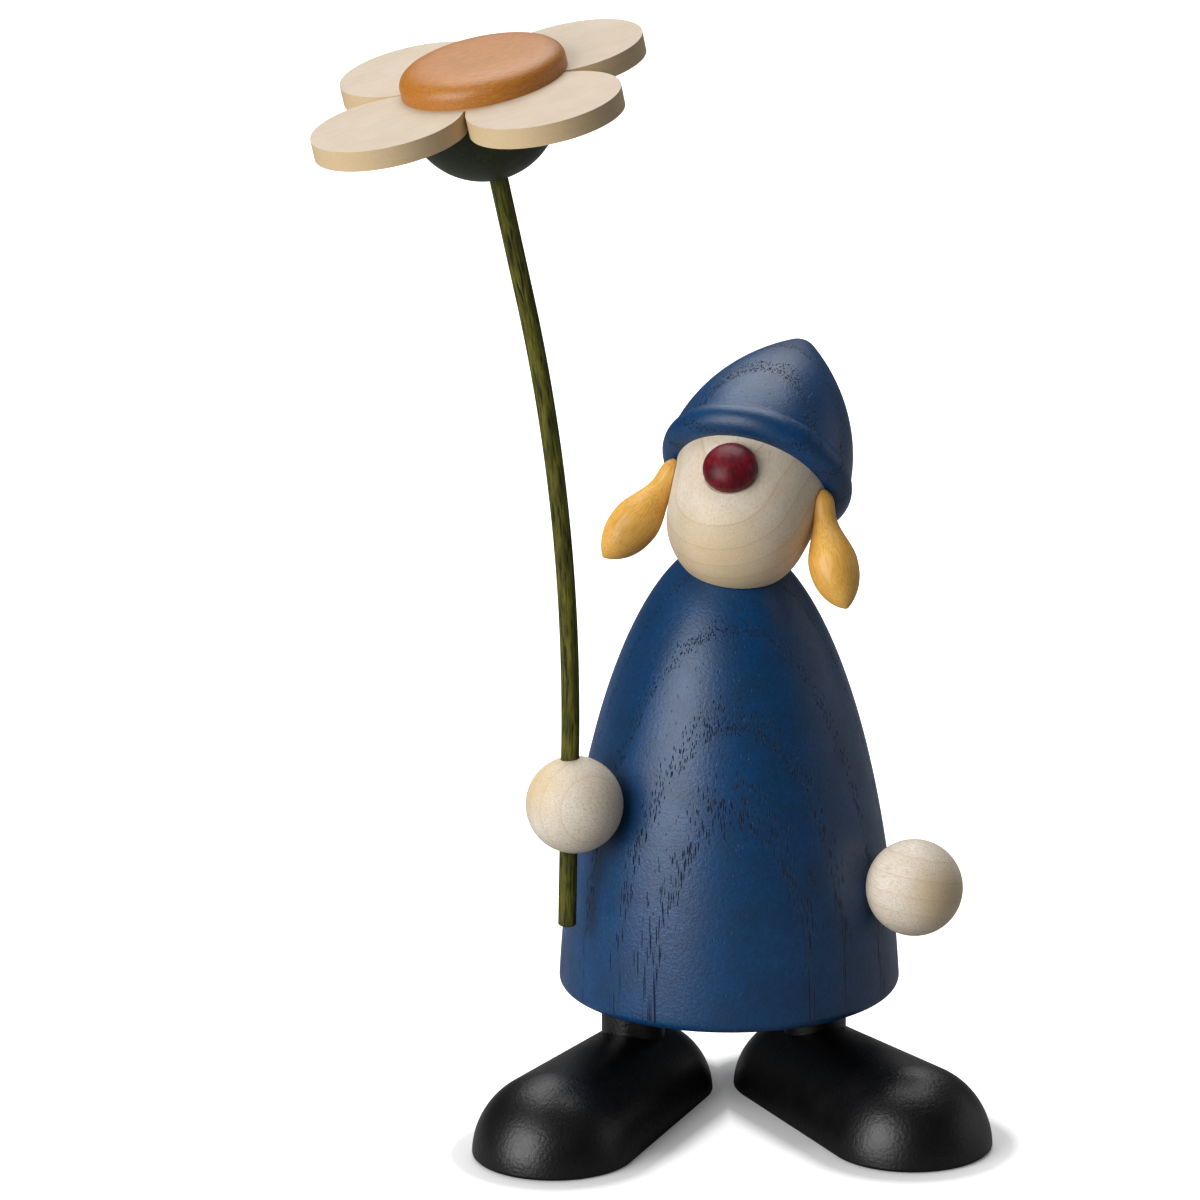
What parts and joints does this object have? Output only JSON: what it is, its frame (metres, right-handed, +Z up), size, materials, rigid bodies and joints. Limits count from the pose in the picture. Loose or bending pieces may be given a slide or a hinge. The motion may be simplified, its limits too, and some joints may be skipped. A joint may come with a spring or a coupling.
{
  "type": "wooden figurine",
  "caption": "Turned wooden figurine with a tall dome body, ball hands, braids and a pointed hat, looking up at a long-stemmed flower in its right hand. The head and the flower turn.",
  "frame": {"origin": "on the ground, under the body's axis", "axes": "+Z up along the body's axis, -Y to the front of the figure, +X to the figure's left"},
  "size_m": [0.102, 0.0773, 0.1725],
  "materials": {
    "stained_blue": "satin blue stain over open-pored ash",
    "pale_maple": "natural pale maple, clear matt",
    "black_paint": "satin black paint",
    "wine_red": "satin wine-red stain",
    "honey": "satin honey stain",
    "cane_green": "dyed cane, matt",
    "dark_green": "satin dark green stain",
    "amber": "satin amber stain"
  },
  "bodies": {
    "figure": {"shoe_left": "black_paint", "shoe_right": "black_paint", "leg_left": "black_paint", "leg_right": "black_paint", "body": "stained_blue", "hand_peg_left": "pale_maple", "hand_peg_right": "pale_maple", "hand_left": "pale_maple", "hand_right": "pale_maple", "neck_dowel": "pale_maple"},
    "head": {"head": "pale_maple", "nose": "wine_red", "hat_dowel": "pale_maple", "hat": "stained_blue", "braid_left": "honey", "braid_right": "honey"},
    "flower": {"flower_stem": "cane_green", "calyx": "dark_green", "petal_plate": "pale_maple", "flower_centre": "amber"}
  },
  "joints": [
    {"name": "head_turn", "type": "hinge", "parent": "figure", "child": "head", "pos_m": [0, 0, 0.09], "axis": [0, 0, 1], "continuous": true},
    {"name": "flower_turn", "type": "hinge", "parent": "figure", "child": "flower", "pos_m": [-0.02593, -0.01492, 0.05281], "axis": [0.0244, 0, 0.9997], "continuous": true}
  ]
}
